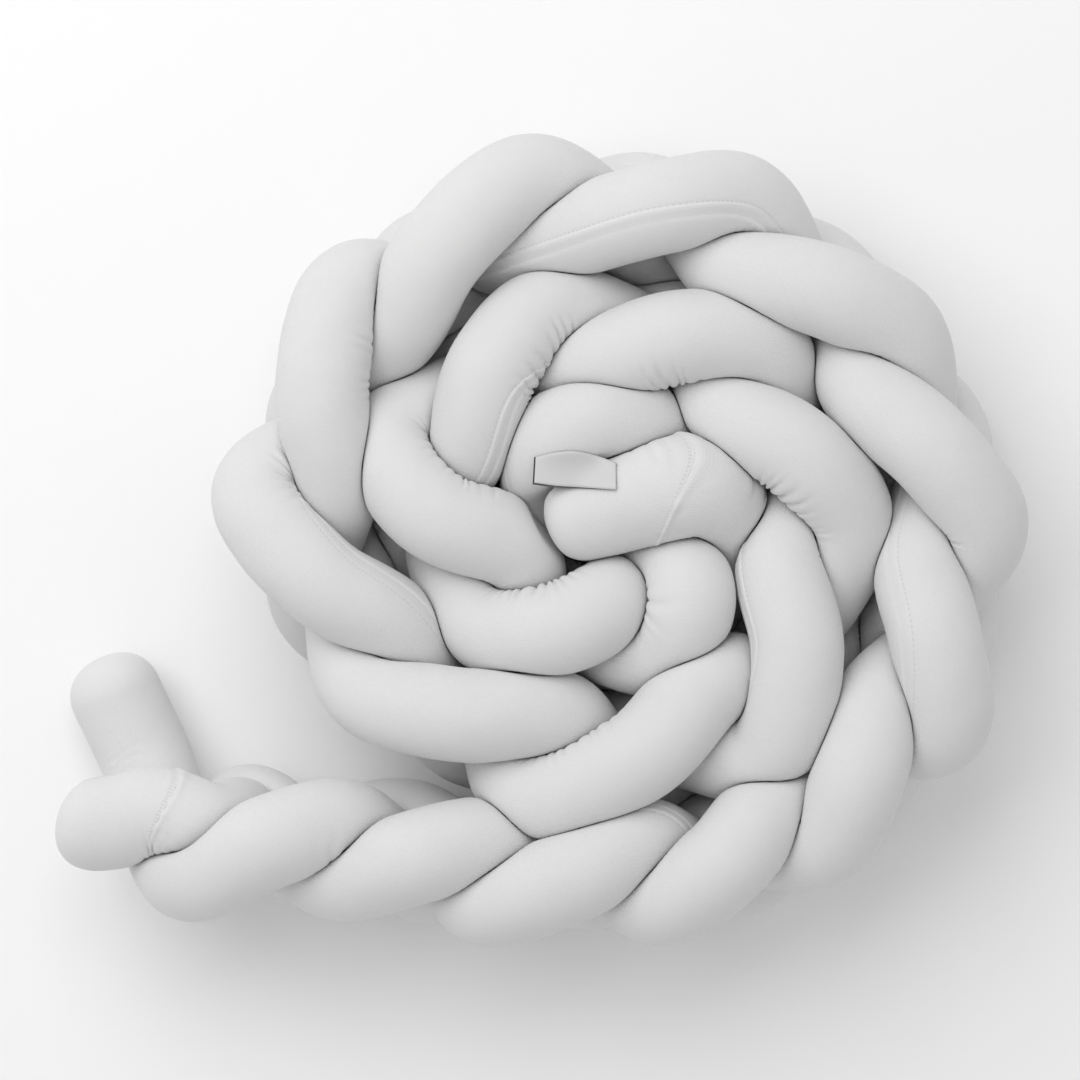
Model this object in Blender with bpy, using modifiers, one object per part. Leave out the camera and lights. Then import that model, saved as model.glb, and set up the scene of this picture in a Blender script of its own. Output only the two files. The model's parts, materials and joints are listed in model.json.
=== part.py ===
"""Crib bumper: three filled tubes of knitted cotton, plaited flat and coiled on the edge of the plait.

Metres, +Z up. The bumper rests on z = 0, and x = y = 0 is the middle of its outline as seen from above.
"""

import itertools
import math

import bpy
import mathutils
import numpy as np

# Driving sizes, in metres.
TUBE_DIAMETER = 0.066  # a strand where nothing presses on it
PLAIT_HEIGHT = 0.180  # the flat plait stands on its edge, so this is its width
FLOOR_PRESS = 0.0045  # how far the lowest folds are pressed flat on the floor
LOW_BULGE = 0.018  # how far a low fold swings out from the middle of the plait
TIP_LENGTH = 0.031  # over which a free end rounds off
TIP_BLUNTNESS = 2.3  # 2 would be half an ellipse, and more is blunter
KNOB_CAP = 0.078  # length of the cap at the outer end of strand A
INNER_CAP = 0.088  # length of the cap at the inner end of strand B
INNER_SWELL = 0.19  # how much fatter strand B is at the seam of that cap, as a share of its radius
SWELL_LENGTH = 0.04
LABEL_THICKNESS = 0.0012
LABEL_REST = 0.0007  # between the label and the tubes it lies on
LABEL_DIP = 0.010  # the tape is too stiff to sag lower than this below its highest place
LABEL_STEPS = 3  # faces across the label
LABEL_PROBES = 9  # places each way on every face at which it is held clear of the tubes
PRESS_GAP = 0.0012  # between two tubes that press on each other
SEAM_GAP = 0.0003  # between a strand and the cap sewn to it

# How finely the tubes are divided and their neighbours felt for.
RING_SPACING = 0.0157
TIP_RINGS = (12, 34, 58, 90)  # where the rings of a rounded end lie, in degrees of a quarter turn
SIDES = 12
POINTS_PER_SPAN = 12
NEIGHBOUR_STEP = 0.004
PRESS_HALVINGS = 12
OWN_REACH = 0.105  # a strand can press on itself only this far along its own length or farther

JERSEY_ROUGHNESS = 0.9
TAPE_ROUGHNESS = 0.7

TUBE_RADIUS = TUBE_DIAMETER / 2
LOW_AXIS = TUBE_RADIUS - FLOOR_PRESS
HIGH_AXIS = PLAIT_HEIGHT - TUBE_RADIUS
MIDDLE_AXIS = (LOW_AXIS + HIGH_AXIS) / 2
AXIS_SWING = (HIGH_AXIS - LOW_AXIS) / 2
MM = 0.001
STRANDS = ("a", "b", "c")

# The top crossings of the plait, from its outer end to its inner end, seen from above, in millimetres.
# Crossing 0 is strand A's, 1 is B's, 2 is C's, 3 is A's again, and so on.
# Columns: the strand's axis at its outer bulge (x, y), at the middle of the crossing (x, y) and at its inner
# bulge (x, y), then how far the low folds there lean outwards.
CROSSINGS = (
    (-302, -198, -272, -194, -232, -204, 0),
    (-243, -236, -193, -212, -140, -200, -10),
    (-134, -235, -88, -222, -34, -212, -1),
    (-40, -252, 24, -234, 72, -212, -8),
    (82, -252, 126, -228, 162, -188, -4),
    (201, -209, 224, -160, 238, -114, -6),
    (282, -131, 276, -66, 266, -20, -4),
    (311, 12, 278, 60, 226, 110, -4),
    (251, 147, 204, 173, 134, 193, -6),
    (140, 240, 84, 233, 22, 217, -8),
    (-4, 254, -70, 203, -99, 154, -12),
    (-132, 178, -153, 104, -144, 42, -14),
    (-199, 34, -155, -27, -103, -60, -6),
    (-121, -104, -58, -122, 12, -123, -4),
    (-9, -180, 69, -151, 126, -96, 0),
    (160, -150, 180, -78, 168, -12, 0),
    (215, 20, 180, 62, 126, 94, 0),
    (156, 136, 92, 142, 30, 122, 0),
    (4, 160, -34, 120, -51, 66, 0),
    (-107, 68, -76, 20, -18, -6, 0),
    (-34, -62, 12, -62, 54, -42, 0),
    (90, -74, 106, -36, 100, -20, 0),
    (120, 12, 84, 52, 56, 84, 0),
)
BULGE_AT = 0.42  # where the bulges lie, in crossings before and after the middle

# A strand's low folds between two of its top crossings.
# Columns: crossings past its top crossing, side (1 is outside the coil, -1 inside, 0 under the middle).
LOW_FOLDS = (
    (0.75, 0),
    (1.125, 1),
    (1.5, 0),
    (1.875, -1),
    (2.25, 0),
)

# The strands' free ends, in millimetres. Columns: x, y, height of the axis.
# The outer ends are listed from the tip and stand for everything before START_AT, in crossings; the inner
# ends are listed towards the tip and stand for everything after END_AT.
START_AT = {"a": 0.4, "b": 0.5, "c": 0.8}
START_ROWS = {
    "a": ((-340, -197, 104), (-323, -200, 107), (-302, -199, 113), (-268, -192, 121)),
    "b": ((-315, -84, 33), (-299, -118, 31), (-280, -158, 36), (-270, -190, 54), (-262, -216, 82)),
    "c": ((-230, -212, 31), (-222, -200, 31)),
}
END_AT = {"a": 20.9, "b": 19.8, "c": 20.6}
END_ROWS = {
    "a": ((105, -40, 143), (100, -22, 128), (80, -6, 98), (62, 14, 72), (46, 36, 60)),
    "b": (
        (8, -68, 54),
        (30, -86, 35),
        (68, -88, 31),
        (104, -66, 36),
        (127, -26, 64),
        (131, 18, 116),
        (111, 38, 140),
        (70, 32, 140),
        (36, 20, 137),
        (4, 16, 130),
    ),
    "c": (
        (50, -44, 100),
        (66, -32, 52),
        (88, -12, 33),
        (110, 16, 36),
        (114, 48, 60),
        (90, 72, 100),
        (64, 83, 131),
        (35, 85, 144),
        (6, 66, 134),
        (4, 40, 100),
        (16, 22, 78),
    ),
}

# The label, sewn by one long edge into the crease between strand C and strand B's cap, in millimetres.
# Columns: x and y of the sewn edge, then x and y of the loose edge.
LABEL_ROWS = (
    (-2, 58, -4, 39),
    (12, 60, 11, 38),
    (26, 60, 26, 37),
    (40, 57, 40, 35),
    (54, 54, 53, 34),
)

JERSEY_WHITE = (0.80, 0.80, 0.81, 1.0)
TAPE_WHITE = (0.72, 0.72, 0.72, 1.0)


def clear_scene():
    for thing in list(bpy.data.objects):
        bpy.data.objects.remove(thing)


def fabric(name, colour, roughness):
    """A matt cloth material."""
    material = bpy.data.materials.new(name)
    material.use_nodes = True
    shader = material.node_tree.nodes["Principled BSDF"]
    shader.inputs["Base Color"].default_value = colour
    shader.inputs["Roughness"].default_value = roughness
    shader.inputs["Metallic"].default_value = 0.0
    return material


def smooth_curve(knots, places, per_span):
    """A smooth curve through the knots, which lie at increasing places, with per_span points a span."""
    spans = np.diff(places)[:, None]
    slopes = np.diff(knots, axis=0) / spans
    inner = (slopes[:-1] * spans[1:] + slopes[1:] * spans[:-1]) / (spans[:-1] + spans[1:])
    slopes = np.vstack([slopes[:1], inner, slopes[-1:]])
    points = []
    for i in range(len(knots) - 1):
        t = np.linspace(0.0, 1.0, per_span, endpoint=False)[:, None]
        leave = slopes[i] * spans[i]
        arrive = slopes[i + 1] * spans[i]
        points.append(
            knots[i] * (1 + 2 * t) * (1 - t) ** 2
            + leave * t * (1 - t) ** 2
            + knots[i + 1] * t**2 * (3 - 2 * t)
            + arrive * t**2 * (t - 1)
        )
    return np.vstack(points + [knots[-1:]])


def arc_lengths(points):
    steps = np.linalg.norm(np.diff(points, axis=0), axis=1)
    return np.concatenate([[0.0], np.cumsum(steps)])


def points_at(points, distances):
    """The points at these distances along a line of points."""
    along = arc_lengths(points)
    return np.stack([np.interp(distances, along, points[:, i]) for i in range(3)], axis=1)


def plait_middle(place):
    """The middle of the plait at a place in crossings, the direction out of the coil, and the folds' lean."""
    rows = np.array(CROSSINGS, float) * MM
    count = len(rows)
    first = min(max(int(math.floor(place)), 0), count - 2)
    picked = rows[[max(first - 1, 0), first, first + 1, min(first + 2, count - 1)]]
    a, b, c, d = picked[:, [2, 3, 6]]
    t = place - first
    middle = b + (c - a) * t / 2 + (a - 2.5 * b + 2 * c - d / 2) * t**2 + (1.5 * (b - c) + (d - a) / 2) * t**3
    slope = (c - a) / 2 + (2 * a - 5 * b + 4 * c - d) * t + (4.5 * (b - c) + 1.5 * (d - a)) * t**2
    ahead = slope[:2] / np.linalg.norm(slope[:2])
    return middle[:2], np.array([ahead[1], -ahead[0]]), middle[2]


def strand_route(strand):
    """A smooth line of close points along a strand's axis, from its outer end to its inner end."""
    first = STRANDS.index(strand)
    knots = []
    for crossing in range(first, len(CROSSINGS), len(STRANDS)):
        row = np.array(CROSSINGS[crossing][:6], float) * MM
        for i, past in enumerate((-BULGE_AT, 0.0, BULGE_AT)):
            knots.append((crossing + past, past, row[2 * i], row[2 * i + 1]))
        for past, side in LOW_FOLDS:
            if crossing + past > len(CROSSINGS) - 1:
                continue
            middle, outwards, lean = plait_middle(crossing + past)
            spot = middle + outwards * (side * LOW_BULGE + lean)
            knots.append((crossing + past, past, spot[0], spot[1]))
    kept = [
        (x, y, MIDDLE_AXIS + AXIS_SWING * math.cos(past * math.tau / len(STRANDS)))
        for place, past, x, y in knots
        if START_AT[strand] < place < END_AT[strand]
    ]
    start = np.array(START_ROWS[strand], float) * MM
    end = np.array(END_ROWS[strand], float) * MM
    line = np.vstack([start, kept, end])
    return smooth_curve(line, arc_lengths(line), per_span=POINTS_PER_SPAN)


def tip_radius(distance):
    """The tube's radius this far from the very end of a rounded tip."""
    inside = np.clip(1 - np.asarray(distance) / TIP_LENGTH, 0.0, 1.0)
    return TUBE_RADIUS * (1 - inside**TIP_BLUNTNESS) ** (1 / TIP_BLUNTNESS)


def radius_along(strand, distances, length):
    """The strand's radius at these distances from its outer end, where nothing presses on it."""
    radius = np.minimum(tip_radius(distances), tip_radius(length - distances))
    if strand == "b":
        from_seam = (length - INNER_CAP - distances) / SWELL_LENGTH
        radius = radius * (1 + INNER_SWELL * np.exp(-(from_seam**2)))
    return radius


def ring_places(length):
    """Distances along a strand at which its rings lie: closer together where its two ends round off."""
    tip = TIP_LENGTH * (1 - np.cos(np.radians(TIP_RINGS)))
    body = length - 2 * tip[-1]
    count = int(round(body / RING_SPACING))
    between = tip[-1] + np.arange(1, count) / count * body
    return np.concatenate([tip, between, length - tip[::-1]])


def bevelled_rings(points, radii, sides):
    """The rings of points that a bevelled curve lays round its line, as an array of rings by sides by 3."""
    curve = bpy.data.curves.new("tube", "CURVE")
    curve.dimensions = "3D"
    curve.bevel_depth = TUBE_RADIUS
    curve.bevel_resolution = sides // 2 - 2
    spline = curve.splines.new("POLY")
    spline.points.add(len(points) - 1)
    for knot, point, radius in zip(spline.points, points, radii):
        knot.co = (*point, 1.0)
        knot.radius = radius / TUBE_RADIUS
    holder = bpy.data.objects.new("tube", curve)
    bpy.context.scene.collection.objects.link(holder)
    evaluated = holder.evaluated_get(bpy.context.evaluated_depsgraph_get())
    mesh = bpy.data.meshes.new_from_object(evaluated)
    corners = np.array([vertex.co for vertex in mesh.vertices])
    bpy.data.objects.remove(holder)
    bpy.data.meshes.remove(mesh)
    return corners.reshape(len(points), sides, 3)


def reach(spokes, centre, radius, others, other_radii):
    """How far each spoke goes from the ring's centre before it meets a neighbouring tube."""
    far = np.full(len(spokes), radius)
    if not len(others):
        return far
    near = np.zeros(len(spokes))
    ends = far.copy()
    for _ in range(PRESS_HALVINGS):
        tips = centre + spokes * ends[:, None]
        away = np.linalg.norm(tips[:, None] - others[None], axis=2) - other_radii
        free = away.min(axis=1) - (ends - radius) >= PRESS_GAP
        near = np.where(free, ends, near)
        far = np.where(free, far, ends)
        ends = (near + far) / 2
    return near


def neighbours(strand, place, centre, routes):
    """Points and radii of the tubes that pass close by, the strand's own only where it comes round again."""
    lines = []
    widths = []
    for name, route in routes.items():
        length = arc_lengths(route)[-1]
        along = np.arange(0.0, length, NEIGHBOUR_STEP)
        line = points_at(route, along)
        close = np.linalg.norm(line - centre, axis=1) < 2 * TUBE_DIAMETER
        if name == strand:
            close &= np.abs(along - place) > OWN_REACH
        lines.append(line[close])
        widths.append(radius_along(name, along, length)[close])
    return np.vstack(lines), np.concatenate(widths)


def pressed_rings(strand, places, routes):
    """A tube's rings, each spoke shortened to where the neighbouring tubes and the floor press on it.

    The reach is felt for on rings and spokes twice as close together, and each corner takes the least reach
    next to it, so that the flat faces between the corners stay clear of the neighbours too.
    """
    length = arc_lengths(routes[strand])[-1]
    halved = np.interp(np.arange(2 * len(places) - 1) / 2, np.arange(len(places)), places)
    points = points_at(routes[strand], halved)
    radii = radius_along(strand, halved, length)
    rings = bevelled_rings(points, radii, 2 * SIDES)
    spokes = (rings - points[:, None]) / radii[:, None, None]
    part = np.ones(spokes.shape[:2])
    for i, (place, centre, radius) in enumerate(zip(halved, points, radii)):
        others, other_radii = neighbours(strand, place, centre, routes)
        part[i] = reach(spokes[i], centre, radius, others, other_radii) / radius
    shortest = np.minimum(part, np.minimum(np.roll(part, 1, axis=1), np.roll(part, -1, axis=1)))
    padded = np.vstack([shortest[:1], shortest, shortest[-1:]])
    shortest = np.minimum(shortest, np.minimum(padded[:-2], padded[2:]))
    centres = points[::2]
    spokes = spokes[::2, ::2]
    lengths = (shortest * radii[:, None])[::2, ::2]
    down = -spokes[..., 2]
    to_floor = centres[:, None, 2] / np.where(down > 0, down, np.inf)
    lengths = np.where(down > 0, np.minimum(lengths, to_floor), lengths)
    return centres[:, None] + spokes * lengths[..., None]


def lofted_tube(name, rings, material, collection):
    """A closed tube through the rings, smooth along its sides and flat across its two ends."""
    count = len(rings)
    faces = [
        (i * SIDES + j, i * SIDES + (j + 1) % SIDES, (i + 1) * SIDES + (j + 1) % SIDES, (i + 1) * SIDES + j)
        for i in range(count - 1)
        for j in range(SIDES)
    ]
    faces.append(tuple(reversed(range(SIDES))))
    faces.append(tuple(range((count - 1) * SIDES, count * SIDES)))
    mesh = bpy.data.meshes.new(name)
    mesh.from_pydata([tuple(corner) for ring in rings for corner in ring], [], faces)
    mesh.shade_smooth()
    mesh.materials.append(material)
    tube = bpy.data.objects.new(name, mesh)
    collection.objects.link(tube)
    return tube


def strand_and_cap(strand, cap_from, cap_to, routes):
    """The rings of a strand and of its cap, which goes from cap_from to cap_to, or None without one."""
    route = routes[strand]
    length = arc_lengths(route)[-1]
    places = ring_places(length)
    if cap_from is None:
        return pressed_rings(strand, places, routes), None
    seam = cap_to if cap_from == 0.0 else cap_from
    places = places[np.abs(places - seam) > RING_SPACING / 2]
    places = np.sort(np.append(places, seam))
    points = points_at(route, places)
    rings = pressed_rings(strand, places, routes)
    at = int(np.searchsorted(places, seam))
    ahead = points[at + 1] - points[at - 1]
    step = ahead / np.linalg.norm(ahead) * SEAM_GAP
    if cap_from == 0.0:
        return np.concatenate([rings[at : at + 1] + step, rings[at + 1 :]]), rings[: at + 1]
    return rings[: at + 1], np.concatenate([rings[at : at + 1] + step, rings[at + 1 :]])


def height_under(x, y, tubes):
    """The height of the highest tube under a point, or 0 where the floor shows between the tubes."""
    above = mathutils.Vector((x, y, 2 * PLAIT_HEIGHT))
    down = mathutils.Vector((0.0, 0.0, -1.0))
    hits = [tube.ray_cast(above, down) for tube in tubes]
    return max([0.0] + [spot.z for found, spot, _, _ in hits if found])


def label_tape(tubes, collection, material):
    """The folded tape on the tubes: an open strip through the rows, given its thickness by Solidify."""
    rows = np.array(LABEL_ROWS, float) * MM
    across = np.linspace(0.0, 1.0, LABEL_STEPS + 1)[None, :, None]
    spots = rows[:, None, :2] * (1 - across) + rows[:, None, 2:] * across
    heights = np.array([[height_under(x, y, tubes) for x, y in line] for line in spots])
    heights = np.maximum(heights, heights.max() - LABEL_DIP)
    corners = np.concatenate([spots, heights[..., None]], axis=2)
    sunk = 0.0
    shares = np.linspace(0.0, 1.0, LABEL_PROBES)
    for i, j in np.ndindex(len(rows) - 1, LABEL_STEPS):
        for u, v in itertools.product(shares, shares):
            ends = corners[i, j : j + 2] * (1 - u) + corners[i + 1, j : j + 2] * u
            x, y, height = ends[0] * (1 - v) + ends[1] * v
            sunk = max(sunk, height_under(x, y, tubes) - height)
    corners[..., 2] += sunk + LABEL_REST
    faces = []
    for i, j in np.ndindex(len(rows) - 1, LABEL_STEPS):
        first = i * (LABEL_STEPS + 1) + j
        faces.append((first, first + 1, first + LABEL_STEPS + 2, first + LABEL_STEPS + 1))
    mesh = bpy.data.meshes.new("label")
    mesh.from_pydata([tuple(corner) for corner in corners.reshape(-1, 3)], [], faces)
    mesh.materials.append(material)
    label = bpy.data.objects.new("label", mesh)
    collection.objects.link(label)
    solidify = label.modifiers.new("tape", "SOLIDIFY")
    solidify.thickness = LABEL_THICKNESS
    solidify.offset = 1.0
    return label


def centre_on_floor(tubes, label):
    """Moves each mesh so the tubes' outline is centred on x = y = 0 and its lowest faces are at z = 0."""
    corners = np.array([vertex.co for tube in tubes for vertex in tube.data.vertices])
    low = corners.min(axis=0)
    high = corners.max(axis=0)
    shift = (-(low[0] + high[0]) / 2, -(low[1] + high[1]) / 2, -low[2])
    for thing in (*tubes, label):
        for vertex in thing.data.vertices:
            vertex.co += mathutils.Vector(shift)


def main():
    clear_scene()
    collection = bpy.data.collections.new("crib_bumper")
    bpy.context.scene.collection.children.link(collection)
    routes = {strand: strand_route(strand) for strand in STRANDS}
    caps = {
        "a": (0.0, KNOB_CAP),
        "b": (arc_lengths(routes["b"])[-1] - INNER_CAP, None),
        "c": (None, None),
    }
    tubes = []
    for strand, (cap_from, cap_to) in caps.items():
        body, cap = strand_and_cap(strand, cap_from, cap_to, routes)
        jersey = fabric(f"jersey_{strand}", JERSEY_WHITE, JERSEY_ROUGHNESS)
        tubes.append(lofted_tube(f"strand_{strand}", body, jersey, collection))
        if cap is not None:
            jersey = fabric(f"cap_jersey_{strand}", JERSEY_WHITE, JERSEY_ROUGHNESS)
            tubes.append(lofted_tube(f"end_cap_{strand}", cap, jersey, collection))
    bpy.context.view_layer.update()
    label = label_tape(tubes, collection, fabric("woven_tape", TAPE_WHITE, TAPE_ROUGHNESS))
    centre_on_floor(tubes, label)


main()
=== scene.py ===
"""Crib bumper: three filled tubes of knitted cotton, plaited flat and coiled on the edge of the plait.

Metres, +Z up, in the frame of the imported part.
"""

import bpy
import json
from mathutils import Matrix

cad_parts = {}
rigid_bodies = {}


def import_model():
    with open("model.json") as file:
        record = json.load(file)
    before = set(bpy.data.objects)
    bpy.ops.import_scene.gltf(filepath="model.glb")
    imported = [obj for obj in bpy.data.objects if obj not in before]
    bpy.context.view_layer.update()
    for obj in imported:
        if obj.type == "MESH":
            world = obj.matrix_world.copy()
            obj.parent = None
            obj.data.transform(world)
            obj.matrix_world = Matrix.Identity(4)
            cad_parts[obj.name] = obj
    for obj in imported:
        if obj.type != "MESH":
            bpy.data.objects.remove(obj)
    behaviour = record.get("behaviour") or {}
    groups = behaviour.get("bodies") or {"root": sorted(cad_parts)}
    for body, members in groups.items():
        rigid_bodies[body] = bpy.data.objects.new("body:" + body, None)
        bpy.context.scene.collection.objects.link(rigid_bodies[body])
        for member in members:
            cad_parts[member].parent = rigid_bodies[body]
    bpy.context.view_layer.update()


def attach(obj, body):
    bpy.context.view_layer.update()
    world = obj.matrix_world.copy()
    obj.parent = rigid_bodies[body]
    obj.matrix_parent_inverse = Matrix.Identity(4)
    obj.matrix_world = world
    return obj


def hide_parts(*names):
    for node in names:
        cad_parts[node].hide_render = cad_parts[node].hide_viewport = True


bl_info = {
    "name": "Plaited crib bumper",
    "version": (1, 0, 0),
    "blender": (4, 5, 0),
    "location": "View3D > Sidebar > Bumper",
    "description": "Builds a coiled, plaited crib bumper of filled jersey tubes",
    "category": "Object",
}

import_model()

import json
import math

import bmesh
import bpy
import mathutils
import numpy as np
from bpy.props import FloatProperty, FloatVectorProperty, IntProperty, PointerProperty, StringProperty
from mathutils import noise

MM = 0.001
STRANDS = ("a", "b", "c")

# The shape of the plait, in metres.
TUBE_DIAMETER = 0.066
TUBE_RADIUS = TUBE_DIAMETER / 2
TUBE_ROUND = math.pi * TUBE_DIAMETER  # the way once round a tube
PLAIT_HEIGHT = 0.180
FLOOR_PRESS = 0.0045  # how far the lowest folds are pressed flat on the floor
LOW_BULGE = 0.018  # how far a low fold swings out from the middle of the plait
TIP_LENGTH = 0.031  # over which a free end rounds off
TIP_BLUNTNESS = 2.3
KNOB_CAP = 0.078  # length of the cap at the outer end of strand A
INNER_CAP = 0.088  # length of the cap at the inner end of strand B
INNER_SWELL = 0.19  # how much fatter strand B is at the seam of its cap, as a share of its radius
SWELL_LENGTH = 0.04
OWN_REACH = 0.105  # a strand can press on itself only this far along its own length or farther
LOW_AXIS = TUBE_RADIUS - FLOOR_PRESS
HIGH_AXIS = PLAIT_HEIGHT - TUBE_RADIUS
MIDDLE_AXIS = (LOW_AXIS + HIGH_AXIS) / 2
AXIS_SWING = (HIGH_AXIS - LOW_AXIS) / 2
TO_OUTLINE_MIDDLE = np.array((0.0003, -0.0004, 0.0))  # brings the middle of the outline to x = y = 0

# The top crossings of the plait, from its outer end to its inner end, seen from above, in millimetres.
# Crossing 0 is strand A's, 1 is B's, 2 is C's, 3 is A's again, and so on.
# Columns: the strand's axis at its outer bulge (x, y), at the middle of the crossing (x, y) and at its inner
# bulge (x, y), then how far the low folds there lean outwards.
CROSSINGS = (
    (-302, -198, -272, -194, -232, -204, 0),
    (-243, -236, -193, -212, -140, -200, -10),
    (-134, -235, -88, -222, -34, -212, -1),
    (-40, -252, 24, -234, 72, -212, -8),
    (82, -252, 126, -228, 162, -188, -4),
    (201, -209, 224, -160, 238, -114, -6),
    (282, -131, 276, -66, 266, -20, -4),
    (311, 12, 278, 60, 226, 110, -4),
    (251, 147, 204, 173, 134, 193, -6),
    (140, 240, 84, 233, 22, 217, -8),
    (-4, 254, -70, 203, -99, 154, -12),
    (-132, 178, -153, 104, -144, 42, -14),
    (-199, 34, -155, -27, -103, -60, -6),
    (-121, -104, -58, -122, 12, -123, -4),
    (-9, -180, 69, -151, 126, -96, 0),
    (160, -150, 180, -78, 168, -12, 0),
    (215, 20, 180, 62, 126, 94, 0),
    (156, 136, 92, 142, 30, 122, 0),
    (4, 160, -34, 120, -51, 66, 0),
    (-107, 68, -76, 20, -18, -6, 0),
    (-34, -62, 12, -62, 54, -42, 0),
    (90, -74, 106, -36, 100, -20, 0),
    (120, 12, 84, 52, 56, 84, 0),
)
BULGE_AT = 0.42  # where the bulges lie, in crossings before and after the middle

# A strand's low folds between two of its top crossings.
# Columns: crossings past its top crossing, side (1 is outside the coil, -1 inside, 0 under the middle).
LOW_FOLDS = (
    (0.75, 0),
    (1.125, 1),
    (1.5, 0),
    (1.875, -1),
    (2.25, 0),
)

# The strands' free ends, in millimetres. Columns: x, y, height of the axis.
START_AT = {"a": 0.4, "b": 0.5, "c": 0.8}
START_ROWS = {
    "a": ((-340, -197, 104), (-323, -200, 107), (-302, -199, 113), (-268, -192, 121)),
    "b": ((-315, -84, 33), (-299, -118, 31), (-280, -158, 36), (-270, -190, 54), (-262, -216, 82)),
    "c": ((-230, -212, 31), (-222, -200, 31)),
}
END_AT = {"a": 20.9, "b": 19.8, "c": 20.6}
END_ROWS = {
    "a": ((105, -40, 143), (100, -22, 128), (80, -6, 98), (62, 14, 72), (46, 36, 60)),
    "b": (
        (8, -68, 54),
        (30, -86, 35),
        (68, -88, 31),
        (104, -66, 36),
        (127, -26, 64),
        (131, 18, 116),
        (111, 38, 140),
        (70, 32, 140),
        (36, 20, 137),
        (4, 16, 130),
    ),
    "c": (
        (50, -44, 100),
        (66, -32, 52),
        (88, -12, 33),
        (110, 16, 36),
        (114, 48, 60),
        (90, 72, 100),
        (64, 83, 131),
        (35, 85, 144),
        (6, 66, 134),
        (4, 40, 100),
        (16, 22, 78),
    ),
}

# Where the sewn seam along each strand shows or hides on its top crossings.
# Columns: x and y of the strand's axis in millimetres, the seam's turn in degrees from straight up to the
# strand's left, looking inwards along the strand, then how far the seam stands out there, in hundredths of
# its full height.
SEAM_ROWS = {
    "a": (
        (-340, -197, -150, 60),
        (-302, -199, -150, 60),
        (-268, -192, -140, 60),
        (-40, -252, 90, 60),
        (24, -234, 83, 60),
        (60, -217, 65, 80),
        (74, -211, 45, 80),
        (88, -206, 27, 80),
        (102, -200, 9, 80),
        (282, -131, 43, 25),
        (276, -66, 31, 25),
        (266, -20, 34, 25),
        (261, -2, 40, 40),
        (146, 240, 5, 120),
        (84, 230, 3, 130),
        (24, 216, 8, 120),
        (-196, 30, 55, 30),
        (-155, -27, 51, 30),
        (-128, -46, 44, 30),
        (-102, -60, 37, 30),
        (160, -150, 95, 40),
        (168, -115, 76, 70),
        (178, -78, 58, 80),
        (172, -40, 60, 80),
        (168, -12, 62, 80),
        (4, 160, 95, 60),
        (-18, 138, 74, 80),
        (-34, 120, 38, 100),
        (-44, 95, 30, 100),
        (-48, 80, 30, 100),
        (-51, 66, 36, 100),
        (90, -74, 130, 50),
        (106, -36, 130, 50),
    ),
    "b": (
        (-194, -210, -130, 60),
        (126, -228, -130, 60),
        (278, 60, -130, 60),
        (-66, 200, -130, 60),
        (-58, -122, -130, 60),
        (180, 62, -130, 60),
        (-76, 20, -130, 60),
        (70, 32, -150, 60),
    ),
    "c": (
        (-88, -222, -130, 60),
        (224, -160, -130, 60),
        (204, 174, -130, 60),
        (-152, 104, -130, 60),
        (70, -148, -130, 60),
        (92, 142, -130, 60),
        (12, -62, -130, 60),
        (36, 85, -120, 60),
        (6, 66, -75, 90),
        (4, 40, -45, 90),
    ),
}
SEAM_CREST = (0.0015, 0.0042)  # half widths of its crest, on the stitched side and on the plain side
SEAM_WAVER = 0.2  # how unevenly the crest stands out, as a share of its height
SEAM_WAVER_SIZE = 0.015
STITCHES_ASIDE = 0.0024  # how far the row of stitches lies from the top of the crest
STITCH_CREASE = 0.0010  # half the width of the crease that the stitches pull into the cloth
STITCH_CREASE_SHARE = 0.3
STITCH_PITCH = 0.0030
STITCH_WIDTH = 0.0010

# The seams across strands A and B, where their end caps are sewn on.
CAP_SEAM_NAMES = {"a": "knob_seam", "b": "inner_seam"}
CAP_SLANT_FADE = 0.045  # how far from the seam the slant of the rings fades out
CAP_RIDGE = 0.0024  # how far past the seam its ridge has its top, and half the width of the ridge
CAP_RIDGE_SHARE = 1.2
CAP_GROOVE = 0.0010
CAP_GROOVE_SHARE = 0.15
CAP_GATHER_PITCH = 0.0092
CAP_GATHER_DRIFT = 5.0  # how far the gathers stray from an even row, in radians
CAP_GATHER_SIZE = 0.020
STRAND_GATHERS = (0.0006, 0.015)  # how deep the small gathers are on the strand, and how far they reach
CAP_GATHERS = (0.0003, 0.007)  # the same on the cap
CAP_STITCH_PITCH = 0.0026
CAP_STITCH_START = 0.0008  # from the seam to its stitches, which lie on the cap
CAP_STITCH_LENGTHS = {"a": 0.0024, "b": 0.0008}

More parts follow.
